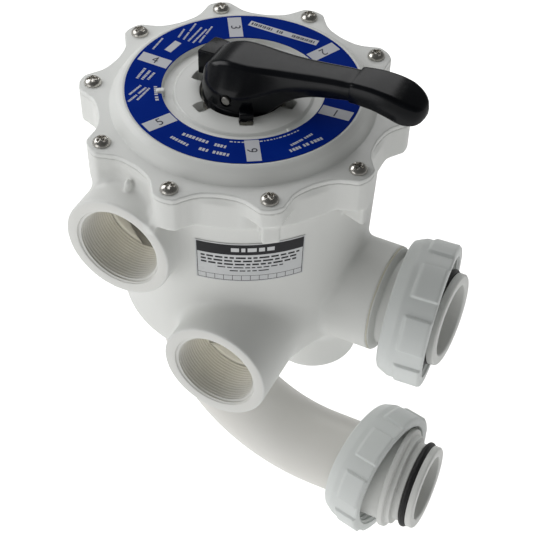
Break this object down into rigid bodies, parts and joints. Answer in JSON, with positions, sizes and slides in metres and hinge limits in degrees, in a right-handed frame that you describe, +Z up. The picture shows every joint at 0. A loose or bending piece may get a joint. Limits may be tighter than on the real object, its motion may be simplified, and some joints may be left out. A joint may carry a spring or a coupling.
{
  "type": "multiport valve",
  "caption": "Side-mount multiport filter valve with scalloped bolted cover, blue position dial, black press-and-turn lever, threaded ports, swept elbow and union nuts.",
  "frame": {"origin": "on the sealing face of the upper union tail, the plane that meets the filter tank, at the top of its ring in the valve's middle plane; the valve axis is at x -161.8 mm, y 0, and the joint plane between cover and body is at z 104.2 mm", "axes": "+Z up along the valve axis, out of the cover; +X towards the filter tank, the way both union tails point; -Y the side with the two threaded front ports"},
  "size_m": [0.2684, 0.224, 0.4277],
  "materials": {
    "white_abs": "white moulded plastic, soft satin gloss",
    "black_gloss": "glossy black moulded plastic",
    "rotor_plastic": "dark grey matte plastic",
    "stainless": "bright stainless steel",
    "seal_rubber": "black nitrile rubber",
    "nylon": "natural nylon",
    "blue_print": "printed dark blue label, satin",
    "placard": "printed vinyl label, white and black, satin"
  },
  "bodies": {
    "housing": {"valve_body": "white_abs", "cover": "white_abs", "cover_oring": "seal_rubber", "dial_label": "blue_print", "body_label": "placard", "spider_gasket": "seal_rubber", "spring_washer": "stainless", "return_spring": "stainless", "upper_union_tail": "white_abs", "upper_union_oring": "seal_rubber", "lower_elbow": "white_abs", "lower_union_tail": "white_abs", "lower_union_oring": "seal_rubber", "cover_screw_01": "stainless", "cover_screw_02": "stainless", "cover_screw_03": "stainless", "cover_screw_04": "stainless", "cover_screw_05": "stainless", "cover_screw_06": "stainless", "cover_screw_07": "stainless", "cover_screw_08": "stainless", "cover_screw_09": "stainless", "cover_screw_10": "stainless", "cover_nut_01": "stainless", "cover_nut_02": "stainless", "cover_nut_03": "stainless", "cover_nut_04": "stainless", "cover_nut_05": "stainless", "cover_nut_06": "stainless", "cover_nut_07": "stainless", "cover_nut_08": "stainless", "cover_nut_09": "stainless", "cover_nut_10": "stainless"},
    "turning_washers": {"thrust_washer": "nylon", "steel_washer": "stainless"},
    "rotor_stack": {"rotor": "rotor_plastic", "rotor_stem": "black_gloss", "stem_oring_lower": "seal_rubber", "stem_oring_upper": "seal_rubber", "handle_pin": "stainless"},
    "handle": {"handle": "black_gloss"},
    "upper_nut": {"upper_union_nut": "white_abs"},
    "lower_nut": {"lower_union_nut": "white_abs"}
  },
  "joints": [
    {"name": "handle_turn", "type": "hinge", "parent": "housing", "child": "turning_washers", "pos_m": [-0.1618, 0, 0.1082], "axis": [0, 0, 1], "continuous": true},
    {"name": "rotor_lift", "type": "slide", "parent": "turning_washers", "child": "rotor_stack", "axis": [0, 0, 1], "range_m": [0, 0.0072], "deforming": ["return_spring"]},
    {"name": "handle_press", "type": "hinge", "parent": "rotor_stack", "child": "handle", "pos_m": [-0.1618, 0, 0.1232], "axis": [0, 1, 0], "range_deg": [0, 15]},
    {"name": "upper_nut_spin", "type": "hinge", "parent": "housing", "child": "upper_nut", "pos_m": [-0.0076, 0.0002, -0.0293], "axis": [0.9927, 0.1096, -0.0506], "continuous": true},
    {"name": "lower_nut_spin", "type": "hinge", "parent": "housing", "child": "lower_nut", "pos_m": [-0.0297, -0.0005, -0.2202], "axis": [0.9825, -0.1839, -0.0297], "continuous": true}
  ],
  "couplings": [
    {"joint": "rotor_lift", "follows": "handle_press", "m_per_rad": 0.027}
  ]
}
